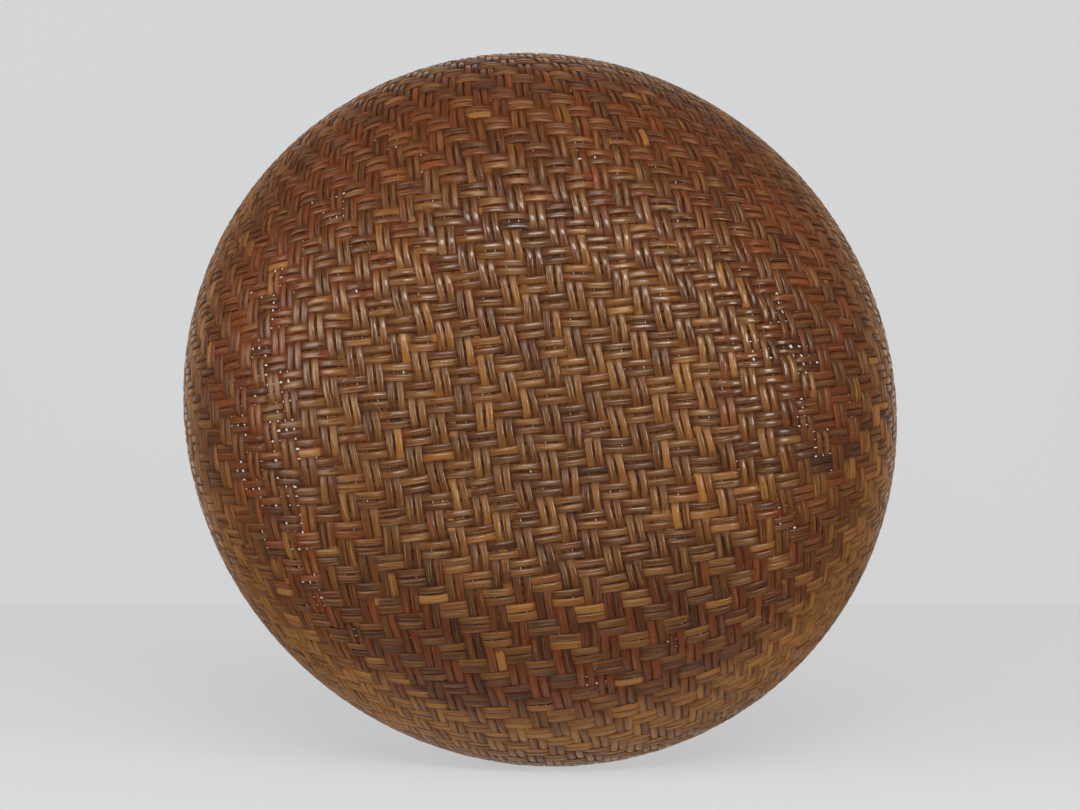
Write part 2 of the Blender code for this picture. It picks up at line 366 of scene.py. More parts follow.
# %% [markdown]
# Light comes through the weave only in a ring around the base, where the mat bends up and
# the strands spread apart. A hole opens at the corner between four strands, halfway
# between crossings, and each of the four gives way there on the side of the hole. Whether
# a corner is open is drawn once for the whole net, so that all four agree, and corners
# open in small patches.

# %% Where the weave opens
OPEN_RING = 0.140
OPEN_WIDTH = 0.020
OPEN_SHARE = 0.82  # share of the corners that are open where the ring opens most
OPEN_SIDES = ((math.pi, 0.60, 1.0), (0.0, 0.40, 0.7), (2.4, 0.45, 0.55))  # turn, spread, share
OPEN_EVERYWHERE = 0.06
OPEN_PATCH = (3, 4)  # corners that open together, across and down
HOLE = (0.08, 0.17)  # what a strand gives up to a hole, as shares of its room
NEAR_HALFWAY = 0.1  # crossings

corner_luck = rng.random((4 * REACH + 2, 4 * REACH + 2))
hole_size = HOLE[0] + (HOLE[1] - HOLE[0]) * rng.random(corner_luck.shape)
patch_luck = rng.random(corner_luck.shape)


def hole_at(along, turn, across, down):
    """What each strand gives up at the corner that starts at this crossing."""
    ring = hill((along - OPEN_RING) / OPEN_WIDTH)
    side = OPEN_EVERYWHERE + 0 * turn
    for middle, spread, share in OPEN_SIDES:
        away = (turn - middle + math.pi) % (2 * math.pi) - math.pi
        side = side + share * hill(away / spread)
    i = np.floor(across).astype(int) + 2 * REACH
    j = np.floor(down).astype(int) + 2 * REACH
    luck = patch_luck[i // OPEN_PATCH[0], j // OPEN_PATCH[1]]
    open_here = (luck < OPEN_SHARE * ring * side) & (corner_luck[i, j] < OPEN_SHARE)
    return np.where(open_here, hole_size[i, j], 0.0)


def holes_beside(crosswise, number, reach, turn, along):
    """What a strand gives up on its side before it and on its side after it."""
    halfway = np.abs(along % 1.0 - 0.5) < NEAR_HALFWAY
    before, after = (
        halfway * hole_at(reach, turn, *crossing_place(crosswise, beside, along))
        for beside in (number - 1, number)
    )
    return before, after


# %% [markdown]
# ## Colour, strand by strand
#
# Cane from different stems ages to different browns, so the colour belongs to the strand
# and changes slowly along it. Three numbers travel with every point: how light the strand
# is, whether it has kept a honey colour or gone to rust, which is below 0, and how much
# dirt it has taken up. The finish turns them into colours later. Years of use add their
# part: strands turn redder and darker towards the shoulder, most where they point
# outwards, and the wall is weathered. Light and shade are painted in too: the weathered
# wall is painted paler as painted light, most on the low side, patches are painted lighter
# where the underside gets more light and darker where it gets less, and low in the picture
# lengthwise strands are painted dark and red as painted shade and crosswise ones golden as
# painted light. Last, each float differs a little from the next.

# %% What a strand brings along
TONE, TONE_SPREAD = 0.50, 0.05
TONE_WAVES = ((23.0, 0.05), (57.0, 0.06))  # length in crossings, size
HONEY, HONEY_SPREAD = 0.10, 0.12
HONEY_WAVES = ((31.0, 0.14),)
HONEY_STRANDS = 0.05  # share of the strands that kept much of their honey colour somewhere
HONEY_STRAND_GAIN = 0.6
HONEY_PLACES, HONEY_LENGTH = 25, 22  # crossings: spread of those places, and their length
KEPT_LENGTHWISE = (-6, 7)  # two strands that kept it across the base
KEPT_MIDDLE, KEPT_LENGTH = -2, 16
KEPT_HONEY, KEPT_TONE = 0.7, 0.15


def stem_mood(crosswise, number, along):
    """Tone and honey that a strand has from the stem it was split from."""
    tone = TONE + TONE_SPREAD * rng.standard_normal() + waves(along, TONE_WAVES)
    honey = HONEY + HONEY_SPREAD * rng.standard_normal() + waves(along, HONEY_WAVES)
    if rng.random() < HONEY_STRANDS:
        middle = rng.normal(0, HONEY_PLACES)
        honey = honey + HONEY_STRAND_GAIN * hill((along - middle) / HONEY_LENGTH)
    if number in KEPT_LENGTHWISE and not crosswise:
        kept = hill((along - KEPT_MIDDLE) / KEPT_LENGTH)
        honey, tone = honey + KEPT_HONEY * kept, tone + KEPT_TONE * kept
    return tone, honey


# %% What years of use add, and painted light and shade
REDDER_FROM, REDDER_SPAN = 0.07, 0.10  # along the wall
REDDER_HONEY, REDDER_TONE = -0.55, -0.13
REDDER_EVERY_WAY = 0.65  # share of it that strands take that don't point outwards
WEATHERED_FROM, WEATHERED_SPAN = 0.157, 0.050  # along the wall
WEATHERED_LOW_START = 0.030  # how much nearer to the middle that is on the low side
# the weathered wall is painted paler as painted light, and more so on the low side as painted
# light that the table throws back
WEATHERED_PAINTED_LIGHT, LOW_BOUNCE_PAINTED_LIGHT = 0.25, 0.14
WEATHERED_HONEY = 0.38
LOW_FROM, LOW_SPAN = 12, 10  # crossings below the middle
# low in the picture: lengthwise strands painted darker and redder as painted shade, crosswise ones
# golden as painted light, at a slightly lower tone
LOW_PAINTED_HUE = {True: 0.26, False: -0.30}  # crosswise and lengthwise
LOW_PAINTED_SHADE = {True: -0.10, False: -0.20}
PAINTED_LIGHT_AND_SHADE = (  # patches painted lighter and darker as painted light and shade: right, down, how wide, how high, tone
    (0.005, 0.088, 0.095, 0.034, -0.18),
    (0.000, -0.090, 0.070, 0.026, -0.08),
    (-0.104, -0.005, 0.040, 0.055, 0.14),
    (-0.038, 0.022, 0.036, 0.034, -0.10),
    (0.070, -0.005, 0.036, 0.055, 0.05),
    (0.160, 0.070, 0.045, 0.090, 0.14),
    (0.112, 0.125, 0.040, 0.040, 0.12),
    (-0.112, 0.125, 0.045, 0.045, 0.10),
    (0.060, 0.075, 0.035, 0.025, -0.08),
)


def weathered_and_lit(reach, turn):
    """How weathered the cane is, which is also where it is painted paler as painted light: 0 on
    the underside and 1 on the wall.
    """
    start = WEATHERED_FROM - WEATHERED_LOW_START * np.sin(turn)
    return smooth_step((reach - start) / WEATHERED_SPAN)


def used_mood(crosswise, number, along, reach, turn, tone, honey):
    """Tone and honey after years of use and painted light and shade, by the place on the basket.
    """
    outward = smooth_step((reach - REDDER_FROM) / REDDER_SPAN)
    radial = np.abs(np.cos(turn) if crosswise else np.sin(turn))
    weathered = weathered_and_lit(reach, turn)
    fresh = 1 - weathered
    # low in the picture: painted shade on lengthwise strands, golden painted light on crosswise
    # ones
    low = fresh * smooth_step(((number if crosswise else along) - LOW_FROM) / LOW_SPAN)

    redder = outward * fresh * (REDDER_EVERY_WAY + (1 - REDDER_EVERY_WAY) * radial)
    honey = (honey + REDDER_HONEY * redder) * fresh + WEATHERED_HONEY * weathered
    honey = honey + LOW_PAINTED_HUE[crosswise] * low

    # paler weathered wall: partly weathering, partly painted light, most on the low side
    weathered_and_painted_light = WEATHERED_PAINTED_LIGHT + LOW_BOUNCE_PAINTED_LIGHT * np.maximum(np.sin(turn), 0)
    tone = tone + REDDER_TONE * outward * radial**2 + weathered_and_painted_light * weathered
    tone = tone + LOW_PAINTED_SHADE[crosswise] * low
    # patches of painted light and shade: lighter where the underside gets more light, darker where
    # it gets less
    for right, down, wide, high, painted_tone in PAINTED_LIGHT_AND_SHADE:
        beside = hill((reach * np.cos(turn) - right) / wide)
        tone = tone + painted_tone * beside * hill((reach * np.sin(turn) - down) / high)
    return tone, honey


# %% Float by float, and dirt
FLOAT_TONE_SPREAD = 0.095
FLOAT_HONEY_SPREAD = 0.17
MOTTLING = 0.8  # how much more the hue of floats differs where they are weathered
HONEY_FLOATS = {True: 0.02, False: 0.05}  # share, crosswise and lengthwise
HONEY_FLOAT_HONEY, HONEY_FLOAT_TONE = 0.5, 0.12
PALE_CHIPS = 0.007  # share of the floats that have lost their skin
PALE_HONEY, PALE_TONE = 0.45, 1.15
CLOUDS = ((31, 17, 1.3), (23, -37, 0.4))  # waves: per metre right, per metre down, start
CLOUD_STAIN = 0.22
BAND_DOWN, BAND_SLOPE, BAND_WIDTH = 0.028, -0.10, 0.012  # dark crosswise rows on the right
BAND_FROM, BAND_SPAN = -0.07, 0.08  # where it fades in
BAND_STAIN = 0.52
SPOT = (0.145, 0.023, 0.012, 0.005)  # a dark spot: right, down, how wide, how high
SPOT_STAIN = 0.55
DULL_EDGE_FROM, DULL_EDGE_SPAN, DULL_EDGE_STAIN = 0.17, 0.06, 0.12


def strand_mood(crosswise, number, along, reach, turn, float_number):
    """Tone, honey and stain along one strand."""
    tone, honey = stem_mood(crosswise, number, along)
    tone, honey = used_mood(crosswise, number, along, reach, turn, tone, honey)
    floats = float_number.max() + 1
    mottled = FLOAT_HONEY_SPREAD * (1 + MOTTLING * weathered_and_lit(reach, turn))
    tone = tone + FLOAT_TONE_SPREAD * rng.standard_normal(floats)[float_number]
    honey = honey + mottled * rng.standard_normal(floats)[float_number]
    golden = (rng.random(floats) < HONEY_FLOATS[crosswise])[float_number]
    pale = (rng.random(floats) < PALE_CHIPS)[float_number]
    tone = np.where(pale, PALE_TONE, tone + HONEY_FLOAT_TONE * golden)
    honey = np.where(pale, PALE_HONEY, honey + HONEY_FLOAT_HONEY * golden)
    stain = stain_at(crosswise, reach, turn)
    return tone, np.clip(honey, -1.0, 1.0), np.clip(stain, 0.0, 1.0)


def stain_at(crosswise, reach, turn):
    """Clouds of handling, a dull edge, dark rows low on the right and a dark spot."""
    x, y = reach * np.cos(turn), reach * np.sin(turn)
    one, other = (np.sin(right * x + down * y + start) for right, down, start in CLOUDS)
    stain = CLOUD_STAIN * (0.5 + 0.5 * one * other)
    if crosswise:
        band = hill((y - BAND_DOWN - BAND_SLOPE * x) / BAND_WIDTH)
        stain = stain + BAND_STAIN * band * smooth_step((x - BAND_FROM) / BAND_SPAN)
    right, down, wide, high = SPOT
    stain = stain + SPOT_STAIN * hill((x - right) / wide) * hill((y - down) / high)
    return stain + DULL_EDGE_STAIN * smooth_step((reach - DULL_EDGE_FROM) / DULL_EDGE_SPAN)


# %% [markdown]
# ## Rings, and a mesh from rings
#
# `strand_rings` walks along one strand and sets its section at every step, square to the
# strand and to the wall. Where a strand leaves the wall at the rim it is cut off under
# the filler cane, as the weaver trims it.

# %% Rings of one strand
SECTION_SIDE = np.array((-1.0, -0.82, -0.38, 0.38, 0.82, 1.0))  # shares of half the width
SECTION_RISE = np.array((0.1, 0.80, 1.0, 1.0, 0.80, 0.1)) - 0.5  # shares of the thickness
SECTION_WEAR_AND_SHEEN = np.array((0.0, 0.60, 1.0, 1.0, 0.60, 0.0))  # hands polish a strand's back, and its crown is painted lighter as painted highlight
HIGHEST_RUB_AND_SHEEN = 1.3  # a float that bulges is rubbed more than a flat one and painted lighter, up to this
DULL_FROM, DULL_SPAN = 0.09, 0.11  # along the wall, where strands lose their shine
DULL_LOW_FROM, DULL_LOW_SPAN = 0.06, 0.05  # down in the picture, where they do so too
DULL_SHARE, DULL_LOW_SHARE = 0.55, 0.5  # of the shine
FLAT_SHARE, FLAT_LOW_SHARE = 0.3, 0.2  # of the painted edge shade, which fades there as well
LAY_STARTS = 3.0  # metres, so that no two strands have the same fibres
LAY_STEP, LAY_LENGTHWISE = 0.618, 200
TRIM = 0.0006
STRAND_END = RIM_ALONG - TRIM
FEWEST_STEPS = 3  # shorter stretches are left out


def runs_inside(crosswise, number):
    """Stretches of a strand that lie on the wall, as arrays of places."""
    steps = np.arange(-2 * REACH, 2 * REACH + 1) / 2.0
    reach, _ = bend_up(*crossing_place(crosswise, number, steps))
    inside = reach < STRAND_END
    edges = np.flatnonzero(np.diff(inside.astype(int)))
    found = []
    for start, stop in zip(edges[::2], edges[1::2]):
        if stop - start < FEWEST_STEPS:
            continue
        into = (reach[start] - STRAND_END) / (reach[start] - reach[start + 1])
        out = (STRAND_END - reach[stop]) / (reach[stop + 1] - reach[stop])
        first = steps[start] + into / 2
        last = steps[stop] + out / 2
        found.append(np.concatenate(([first], steps[start + 1 : stop + 1], [last])))
    return found


def across_strand(middle, out, roll):
    """The way across a strand and the way out of its back, after it has rolled."""
    way = np.gradient(middle, axis=0)
    way -= (way * out).sum(-1, keepdims=True) * out
    way /= np.linalg.norm(way, axis=-1, keepdims=True)
    side = np.cross(out, way)
    cos, sin = np.cos(roll)[:, None], np.sin(roll)[:, None]
    return side * cos + out * sin, out * cos - side * sin


def strand_rings(crosswise, number, along):
    """Points of a strand's rings, with their lay, mood, and wear and sheen for the finish."""
    wander = waves(along, WANDER)
    shared = moved_together(*crossing_place(crosswise, number, along))
    reach, turn = bend_up(*crossing_place(crosswise, number, along))
    before, after = holes_beside(crosswise, number, reach, turn, along)
    side_place = number + wander + shared + (before - after) / 2
    reach, turn = bend_up(*crossing_place(crosswise, side_place, along))
    reach[0], reach[-1] = STRAND_END, STRAND_END
    middle, out = on_wall(reach, turn)
    side, out = across_strand(middle, out, ROLL_LIMIT * waves(along, ROLL_WANDER))

    crossings, side_up = sides_of(crosswise, number, along)
    float_number = float_of(along, crossings, side_up)
    tight = tightness(reach, turn)
    fill = share_at(crosswise, along, crossings, side_up, tight, reach) - before - after
    narrower = FLOAT_WIDTH_SPREAD * rng.random(float_number.max() + 1)[float_number]
    room = np.minimum(STRAND_WIDTH, spacing_at(crosswise, number, along))
    width = room * (fill - narrower * (fill < 1))
    lift = height_at(along, crossings, side_up, tight) + waves(along, LIFT_WANDER)
    rise = WEAVE_SHIFT + lift[:, None] + STRAND_THICKNESS * SECTION_RISE
    points = (
        middle[:, None]
        + side[:, None] * (width[:, None] / 2 * SECTION_SIDE)[..., None]
        + out[:, None] * rise[..., None]
    )

    outward = smooth_step((reach - DULL_FROM) / DULL_SPAN)
    low = smooth_step((reach * np.sin(turn) - DULL_LOW_FROM) / DULL_LOW_SPAN)
    step = np.linalg.norm(np.diff(middle, axis=0), axis=1)
    length = np.concatenate(([0.0], np.cumsum(step)))
    edges = width / STRAND_WIDTH * (1 - FLAT_SHARE * outward - FLAT_LOW_SHARE * low)
    lay = np.empty(points.shape)
    lay[..., 0] = length[:, None] + rng.uniform(0, LAY_STARTS)
    lay[..., 1] = SECTION_SIDE * edges[:, None]
    lay[..., 2] = number * LAY_STEP + (0 if crosswise else LAY_LENGTHWISE)
    mood = strand_mood(crosswise, number, along, reach, turn, float_number)
    mood = np.repeat(np.stack(mood, axis=-1)[:, None], len(SECTION_SIDE), axis=1)
    shine = (1 - DULL_SHARE * outward) * (1 - DULL_LOW_SHARE * low)
    # wear and sheen: floats that stand high are rubbed more and painted lighter as painted
    # highlight, strands that lie below get none and are painted darker as painted shade
    rubbed = shine * np.clip(lift / LAYER_SHIFT, 0.0, HIGHEST_RUB_AND_SHEEN)
    return points, lay, mood, rubbed[:, None] * SECTION_WEAR_AND_SHEEN


# %% A mesh from many rows of rings
CREASE = math.radians(62)  # sharper edges than this are drawn as edges


def ring_faces(rings, sides, first):
    """Faces between rings of points, and the two ends, numbered from first."""
    ring = np.arange(rings - 1)[:, None] * sides
    here = np.arange(sides)[None]
    after = (here + 1) % sides
    quads = np.stack(
        (ring + here, ring + sides + here, ring + sides + after, ring + after), axis=-1
    ).reshape(-1, 4)
    ends = np.stack((np.arange(sides), (rings - 1) * sides + np.arange(sides)[::-1]))
    return quads + first, ends + first


def mesh_from_rows(name, rows):
    """One mesh from rows of rings. A row is (points, lay, mood, wear and sheen), rings by sides.
    """
    first, quads, ends, back = 0, [], [], []
    for row in rows:
        rings, sides = row[0].shape[:2]
        row_quads, row_ends = ring_faces(rings, sides, first)
        quads.append(row_quads)
        ends.append(row_ends)
        back.append(np.arange(len(row_quads)) % sides == sides - 1)
        first += rings * sides
    quads, ends = np.concatenate(quads), np.concatenate(ends)
    back = np.concatenate(back)
    mesh = bpy.data.meshes.new(name)
    mesh.vertices.add(first)
    mesh.vertices.foreach_set(
        "co", np.concatenate([row[0].reshape(-1) for row in rows]).astype(np.float32)
    )
    corners = np.concatenate((quads.ravel(), ends.ravel())).astype(np.int32)
    mesh.loops.add(len(corners))
    mesh.loops.foreach_set("vertex_index", corners)
    starts = np.concatenate((
        np.arange(len(quads)) * 4,
        len(quads) * 4 + np.arange(len(ends)) * ends.shape[1],
    )).astype(np.int32)
    mesh.polygons.add(len(starts))
    mesh.polygons.foreach_set("loop_start", starts)
    flat_side = np.concatenate((back, np.zeros(len(ends), bool))).astype(np.int32)
    mesh.polygons.foreach_set("material_index", flat_side)
    for label, column in (("lay", 1), ("mood", 2)):
        values = np.concatenate([row[column].reshape(-1) for row in rows])
        mesh.attributes.new(label, "FLOAT_VECTOR", "POINT")
        mesh.attributes[label].data.foreach_set("vector", values.astype(np.float32))
    worn = np.concatenate([row[3].reshape(-1) for row in rows])
    mesh.attributes.new("worn", "FLOAT", "POINT")
    mesh.attributes["worn"].data.foreach_set("value", worn.astype(np.float32))
    mesh.update(calc_edges=True)
    mesh.validate()
    mesh.shade_smooth()
    mesh.set_sharp_from_angle(angle=CREASE)
    return mesh


def add_piece(name, mesh, slot, *nodes):
    """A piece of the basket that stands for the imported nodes."""
    piece = bpy.data.objects.new(name, mesh)
    bpy.context.scene.collection.objects.link(piece)
    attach(piece, "root")
    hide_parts(*nodes)
    return piece


# %% [markdown]
# ## Weaving
#
# The strands are gathered in bundles of neighbours, six for each direction. Together
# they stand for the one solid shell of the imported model.

# %% Weave all strands
BUNDLES = 6

strand_pieces = []
for crosswise in (True, False):
    numbers = np.arange(-REACH, REACH + 1)
    label = "crosswise_strands" if crosswise else "lengthwise_strands"
    for bundle, members in enumerate(np.array_split(numbers, BUNDLES)):
        rows = [
            strand_rings(crosswise, int(number), along)
            for number in members
            for along in runs_inside(crosswise, int(number))
        ]
        mesh = mesh_from_rows(f"{label}_{bundle + 1}", rows)
        strand_pieces.append(
            add_piece(f"{label}_{bundle + 1}", mesh, "woven_cane", "woven_bowl")
        )
        print(mesh.name, "strands", len(rows), "faces", len(mesh.polygons))

# %% [markdown]
# ## The rim
#
# Two hoops of split cane clamp the trimmed ends, one on each side of the wall. Each hoop
# is a bent half-round strip whose ends are shaved thin and lie over each other. A thin
# cane covers the ends of the strands between them.

# %% Hoops and filler cane
HOOP_POINTS = 8
TURN_RINGS = 360
LAP = math.radians(14)
SHAVED_TO = 0.35  # share of the thickness that is left at the ends
SHAVED_LAPS = 1.4  # how far an end is shaved, in laps
LIE_OVER_SHARE = 0.42  # of the thickness
LIE_OVER_LAPS = 1.3
HOOP_WAVES = ((3, 0.00010), (7, 0.00007), (13, 0.00005))  # waves around the rim, size
HOOP_TONE = 0.5
HOOP_TONE_WAVES = ((2, 0.12), (11, 0.08), (29, 0.06))
HOOP_HONEY, HOOP_HONEY_WAVES = 0.12, ((5, 0.22),)
HOOP_STAIN = 0.22


def half_round(width, depth, points):
    """A half-round section: places across it and heights above its flat side."""
    angles = np.linspace(math.pi, 0, points)
    return width / 2 * np.cos(angles), depth * np.sin(angles)


def rim_waves(turn, counts_and_sizes, own):
    """A wander around the rim that meets its own start."""
    return sum(
        size * np.sin(count * turn + own.uniform(0, WAVE_STARTS))
        for count, size in counts_and_sizes
    )


def hoop_rows(radius, height, across, rise, facing, seed, lap=LAP):
    """Rings of a bent cane. facing is +1 outwards, -1 inwards and 0 for upwards."""
    own = np.random.default_rng(seed)
    start = own.uniform(0, 2 * math.pi)
    turn = np.linspace(start, start + 2 * math.pi + lap, TURN_RINGS)
    left, right = turn - start, turn[-1] - turn
    end = smooth_step(np.minimum(left, right) / (SHAVED_LAPS * lap))
    shaved = SHAVED_TO + (1 - SHAVED_TO) * end
    lie_over = smooth_step((LIE_OVER_LAPS * lap - right) / lap)
    lie_over = LIE_OVER_SHARE * rise.max() * lie_over
    spoke = np.stack((np.cos(turn), np.sin(turn), 0 * turn), axis=-1)
    wander = rim_waves(turn, HOOP_WAVES, own)
    centre = spoke * radius + AXIS * (height + wander)[:, None]
    upright = np.broadcast_to(AXIS, spoke.shape)
    out, side = (spoke * facing, upright * facing) if facing else (upright, -spoke)
    depth = rise * shaved[:, None] + lie_over[:, None]
    points = (
        centre[:, None]
        + side[:, None] * across[None, :, None]
        + out[:, None] * depth[..., None]
    )
    lay = np.empty(points.shape)
    lay[..., 0] = (left * radius)[:, None]
    lay[..., 1] = np.linspace(-1, 1, len(across))
    lay[..., 2] = seed
    tone = HOOP_TONE + rim_waves(turn, HOOP_TONE_WAVES, own)
    honey = HOOP_HONEY + rim_waves(turn, HOOP_HONEY_WAVES, own)
    mood = np.stack((tone, honey, HOOP_STAIN + 0 * turn), axis=-1)
    worn = np.tile(rise / rise.max(), (len(turn), 1))
    return points, lay, np.repeat(mood[:, None], len(across), axis=1), worn


HOOP_DEPTH = hoop_high.x - MOUTH_RADIUS - GAP
INNER_RADIUS = MOUTH_RADIUS - WALL_THICKNESS
FILLER_MIDDLE = MOUTH_RADIUS - WALL_THICKNESS / 2
FILLER_WIDTH = 2 * (filler_high.x - FILLER_MIDDLE)
FILLER_RISE = filler_high.z - filler_low.z
LAP_SPARE = 0.97  # the lap adds to the depth, so the rest is a little thinner

across, rise = half_round(HOOP_HEIGHT, HOOP_DEPTH * LAP_SPARE, HOOP_POINTS)
hoop_middle = hoop_low.z + HOOP_HEIGHT / 2
outer_rows = hoop_rows(MOUTH_RADIUS + GAP, hoop_middle, across, rise, 1, 3)
inner_rows = hoop_rows(INNER_RADIUS - GAP, hoop_middle, across, rise, -1, 4)
filler_across, filler_rise = half_round(FILLER_WIDTH, FILLER_RISE, HOOP_POINTS)
filler_rows = hoop_rows(
    FILLER_MIDDLE, WALL_TOP + GAP, filler_across, filler_rise, 0, 5, lap=LAP / 2
)
outer_hoop = add_piece(
    "outer_hoop", mesh_from_rows("outer_hoop", [outer_rows]), "split_cane_hoop",
    "rim_hoop_outer",
)
inner_hoop = add_piece(
    "inner_hoop", mesh_from_rows("inner_hoop", [inner_rows]), "split_cane_hoop",
    "rim_hoop_inner",
)
filler = add_piece(
    "filler_cane", mesh_from_rows("filler_cane", [filler_rows]), "filler_cane",
    "rim_filler_cane",
)
print("rim faces", sum(len(p.data.polygons) for p in (outer_hoop, inner_hoop, filler)))
print("inner hoop", round(INNER_RADIUS - GAP, 4), "packed", round(inner_high.x, 4))

# %% [markdown]
# ## The binding
#
# A flat strip of cane skin binds the rim. Pulled tight, it takes the shortest way around
# the hoops and the filler, which is the outline that a string would take around their
# section. `tight_outline` finds it, and the strip follows it from the outer face of the
# wall over the top to the inner face. Every stitch slants a little differently.

# %% The way a tight stitch takes
STITCH_COUNT = 36
STITCH_WIDTH = 0.0055
STITCH_THICKNESS = 0.0009
STITCH_POINTS = 6
STITCH_GAP = 0.0001  # clear of the hoops and the filler
HOOP_STEPS = np.radians(np.arange(-90, 91, 15))
DOME_STEPS = np.radians(np.arange(0, 181, 20))
ROUNDING = 2  # times that the corners are cut
CORNER_CUT = 0.25  # share of a side that each cut takes


def tight_outline(points):
    """Corners of the tightest outline around points, from the inner side over the top."""
    kept = []
    for x, z in sorted(set(points), key=lambda p: (p[0], p[1])):
        while len(kept) > 1:
            (ax, az), (bx, bz) = kept[-2:]
            if (bx - ax) * (z - az) - (bz - az) * (x - ax) < 0:
                break
            kept.pop()
        kept.append((x, z))
    return kept


def stitch_path():
    """Points from the outer face of the wall, around the hoops, to the inner face."""
    clear = STITCH_GAP + STITCH_THICKNESS / 2
    bulge = HOOP_DEPTH * LAP_SPARE + clear
    half = HOOP_HEIGHT / 2 + clear
    outer = [
        (MOUTH_RADIUS + GAP + bulge * math.cos(a), hoop_middle + half * math.sin(a))
        for a in HOOP_STEPS
    ]
    inner = [(2 * FILLER_MIDDLE - x, z) for x, z in outer]
    lift = FILLER_RISE + clear
    top = [
        (FILLER_MIDDLE + FILLER_WIDTH / 2 * math.cos(a), WALL_TOP + GAP + lift * math.sin(a))
        for a in DOME_STEPS
    ]
    upper = tight_outline(outer + inner + top)
    low_outer = [p for p in outer if p[1] < hoop_middle]
    low_inner = [p for p in inner if p[1] < hoop_middle][::-1]
    upper = [p for p in upper[::-1] if p[1] >= hoop_middle]
    return np.array(low_outer + upper + low_inner)


def rounded(path):
    """Cuts the corners of an open path a few times, and keeps its ends."""
    for _ in range(ROUNDING):
        early = (1 - CORNER_CUT) * path[:-1] + CORNER_CUT * path[1:]
        late = CORNER_CUT * path[:-1] + (1 - CORNER_CUT) * path[1:]
        middle = np.stack((early, late), axis=1).reshape(-1, path.shape[1])
        path = np.concatenate((path[:1], middle, path[-1:]))
    return path


stitch_way = rounded(stitch_path())
print("stitch path points", len(stitch_way), "length",
      round(float(np.linalg.norm(np.diff(stitch_way, axis=0), axis=1).sum()), 4))


# %% Stitches around the mouth
NARROWEST = 0.88  # share of the width that a stitch may have
WAIST = 0.06  # a stitch is pulled a little narrower over the top
SLANT, SLANT_SPREAD = 0.20, 0.35  # of the width, and how much stitches differ
CROWN_FALL = 0.55  # share of the thickness that its edges are lower than its middle
INNER_SHARE = 0.96  # of the width, on the side that lies on the hoops
STITCH_LAY, STITCH_LAY_STEP = 0.04, 3.7
STITCH_TONE, STITCH_TONE_SPREAD = 0.58, 0.15
STITCH_HONEY = (-0.1, 0.5)
STITCH_STAIN = 0.12
FIRST_SEED = 100


def stitch_section():
    """Outline of the strip: places across it and heights, as shares of its sizes."""
    across = np.linspace(-1, 1, STITCH_POINTS)
    upper = np.stack((across, 0.5 - CROWN_FALL * across**2), axis=1)
    lower = np.array(((1.0, -0.5), (-1.0, -0.5))) * (INNER_SHARE, 1.0)
    return np.concatenate((upper, lower))


def stitch_row(number):
    """Rings of one stitch, laid around the rim at its own angle and slant."""
    own = np.random.default_rng(FIRST_SEED + number)
    way = np.gradient(stitch_way, axis=0)
    way /= np.linalg.norm(way, axis=1, keepdims=True)
    out = np.stack((way[:, 1], -way[:, 0]), axis=1)
    share = np.linspace(0, 1, len(stitch_way))
    arc = np.sin(math.pi * share)
    width = STITCH_WIDTH * own.uniform(NARROWEST, 1.0) * (1 - WAIST * arc)
    slant = SLANT * STITCH_WIDTH * own.normal(0, SLANT_SPREAD) * (share - 0.5)
    outline = stitch_section()
    angle = 2 * math.pi * (number - 1) / STITCH_COUNT
    spoke = np.array((math.cos(angle), math.sin(angle), 0.0))
    side = np.array((-math.sin(angle), math.cos(angle), 0.0))
    centre = stitch_way[:, :1] * spoke + stitch_way[:, 1:] * AXIS + slant[:, None] * side
    lift = out[:, :1] * spoke + out[:, 1:] * AXIS
    points = (
        centre[:, None]
        - side * (width[:, None] / 2 * outline[:, 0])[..., None]
        + lift[:, None] * (STITCH_THICKNESS * outline[:, 1])[None, :, None]
    )
    lay = np.empty(points.shape)
    lay[..., 0] = share[:, None] * STITCH_LAY + own.uniform(0, LAY_STARTS)
    lay[..., 1] = outline[:, 0]
    lay[..., 2] = number * STITCH_LAY_STEP
    tone = STITCH_TONE + STITCH_TONE_SPREAD * own.standard_normal()
    mood = np.tile((tone, own.uniform(*STITCH_HONEY), STITCH_STAIN), (*points.shape[:2], 1))
    return points, lay, mood, arc[:, None] * (outline[:, 1] > 0)


stitches = []
for number in range(1, STITCH_COUNT + 1):
    node = f"rim_stitch_{number:02d}"
    mesh = mesh_from_rows(f"binding_{number:02d}", [stitch_row(number)])
    stitches.append(add_piece(mesh.name, mesh, "stitch_cane", node))
print("stitches", len(stitches), "faces each", len(stitches[0].data.polygons))

# %% [markdown]
# ## Sums with sockets
#
# A finish is a tree of nodes. Writing it as plain sums keeps it readable: `Wire` wraps an
# output socket, and adding, taking away or multiplying wires adds the Math node for it.
# Every other node comes from `Finish.node`.


# %% Wire and Finish
class Wire:
    """An output socket that can be used in sums."""

    def __init__(self, finish, socket):
        self.finish = finish
        self.socket = socket

    def maths(self, operation, first, second=0.0, third=0.0, clamp=False):
        settings = {"operation": operation, "use_clamp": clamp}
        return self.finish.node("Math", settings, {0: first, 1: second, 2: third})

    def __add__(self, other):
        return self.maths("ADD", self, other)

    __radd__ = __add__

    def __sub__(self, other):
        return self.maths("SUBTRACT", self, other)

    def __rsub__(self, other):
        return self.maths("SUBTRACT", other, self)

    def __mul__(self, other):
        return self.maths("MULTIPLY", self, other)

    __rmul__ = __mul__

    def __pow__(self, other):
        return self.maths("POWER", self, other)

    def __abs__(self):
        return self.maths("ABSOLUTE", self)

    def between(self, low, high):
        """0 at low, 1 at high, and clamped outside."""
        return self.maths("MULTIPLY_ADD", self, 1 / (high - low), -low / (high - low), True)


